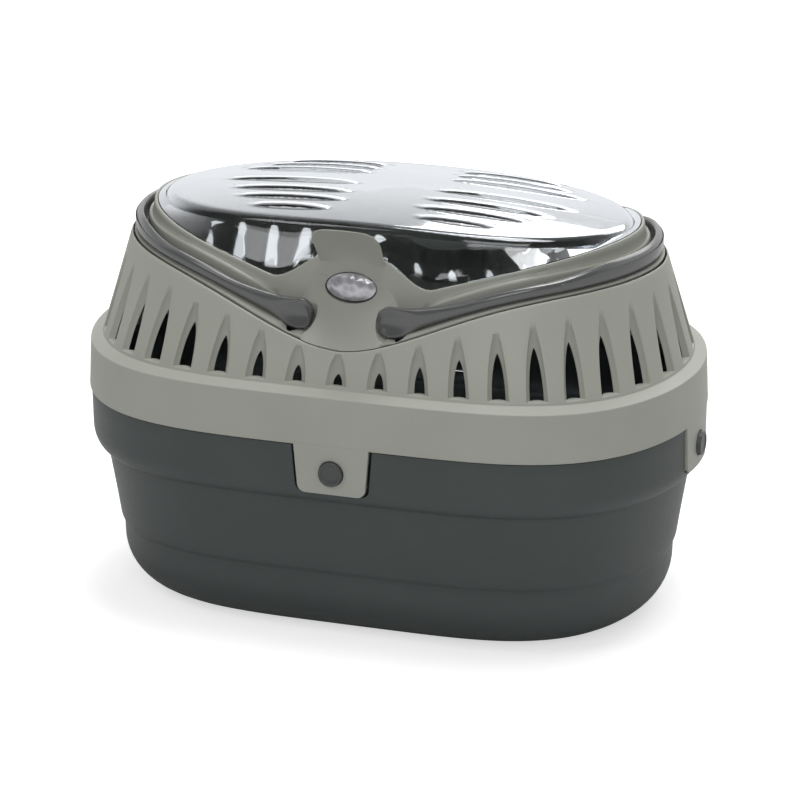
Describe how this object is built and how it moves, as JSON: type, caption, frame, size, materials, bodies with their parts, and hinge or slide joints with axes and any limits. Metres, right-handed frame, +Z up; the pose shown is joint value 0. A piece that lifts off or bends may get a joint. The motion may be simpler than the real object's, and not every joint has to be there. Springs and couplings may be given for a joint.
{
  "type": "plastic pet keeper",
  "caption": "Small animal carrier: deep oval tub, vented cover held by push catches, hinged lid with a clear louvred dome, press release and two swing handles.",
  "frame": {"origin": "centre of the tub's flat base, on the surface that the keeper stands on", "axes": "+Z up, -Y towards the front with the release button, +X to the right along the length"},
  "size_m": [0.304, 0.196, 0.201],
  "materials": {
    "tub_plastic": "injection moulded polypropylene, dark slate grey, fine matt texture",
    "cover_plastic": "injection moulded polypropylene, warm stone grey, satin",
    "frame_plastic": "injection moulded polypropylene, warm stone grey, satin",
    "clear_plastic": "injection moulded clear polystyrene, polished",
    "button_plastic": "injection moulded clear plastic, polished",
    "handle_plastic": "injection moulded polypropylene, mid grey, semi-gloss",
    "pin_plastic": "moulded plastic pin",
    "catch_plastic": "injection moulded plastic, dark grey, satin"
  },
  "bodies": {
    "housing": {"tub": "tub_plastic", "cover": "cover_plastic", "lid_hinge_pins": "pin_plastic"},
    "lid": {"lid_frame": "frame_plastic", "dome_window": "clear_plastic", "handle_pivot_pins": "pin_plastic"},
    "release": {"oval_button": "button_plastic"},
    "handle_left": {"left_handle": "handle_plastic"},
    "handle_right": {"right_handle": "handle_plastic"},
    "catch_front": {"front_catch": "catch_plastic"},
    "catch_rear": {"rear_catch": "catch_plastic"},
    "catch_left": {"left_catch": "catch_plastic"},
    "catch_right": {"right_catch": "catch_plastic"}
  },
  "joints": [
    {"name": "lid_hinge", "type": "hinge", "parent": "housing", "child": "lid", "pos_m": [0, 0.08914, 0.1482], "axis": [-1, 0, 0], "range_deg": [0, 100]},
    {"name": "release_press", "type": "slide", "parent": "lid", "child": "release", "axis": [0, 1, 0], "range_m": [0, 0.0025], "stiffness_N_per_m": 300, "springref_m": -0.003},
    {"name": "left_handle_swing", "type": "hinge", "parent": "lid", "child": "handle_left", "pos_m": [-0.0237, 0, 0.1584], "axis": [0, 1, 0], "range_deg": [0, 72]},
    {"name": "right_handle_swing", "type": "hinge", "parent": "lid", "child": "handle_right", "pos_m": [0.0237, 0, 0.1584], "axis": [0, -1, 0], "range_deg": [0, 72]},
    {"name": "front_catch_press", "type": "slide", "parent": "housing", "child": "catch_front", "axis": [0, 1, 0], "range_m": [0, 0.0046], "stiffness_N_per_m": 400, "springref_m": -0.003},
    {"name": "rear_catch_press", "type": "slide", "parent": "housing", "child": "catch_rear", "axis": [0, -1, 0], "range_m": [0, 0.0046], "stiffness_N_per_m": 400, "springref_m": -0.003},
    {"name": "left_catch_press", "type": "slide", "parent": "housing", "child": "catch_left", "axis": [1, 0, 0], "range_m": [0, 0.0046], "stiffness_N_per_m": 400, "springref_m": -0.003},
    {"name": "right_catch_press", "type": "slide", "parent": "housing", "child": "catch_right", "axis": [-1, 0, 0], "range_m": [0, 0.0046], "stiffness_N_per_m": 400, "springref_m": -0.003}
  ]
}
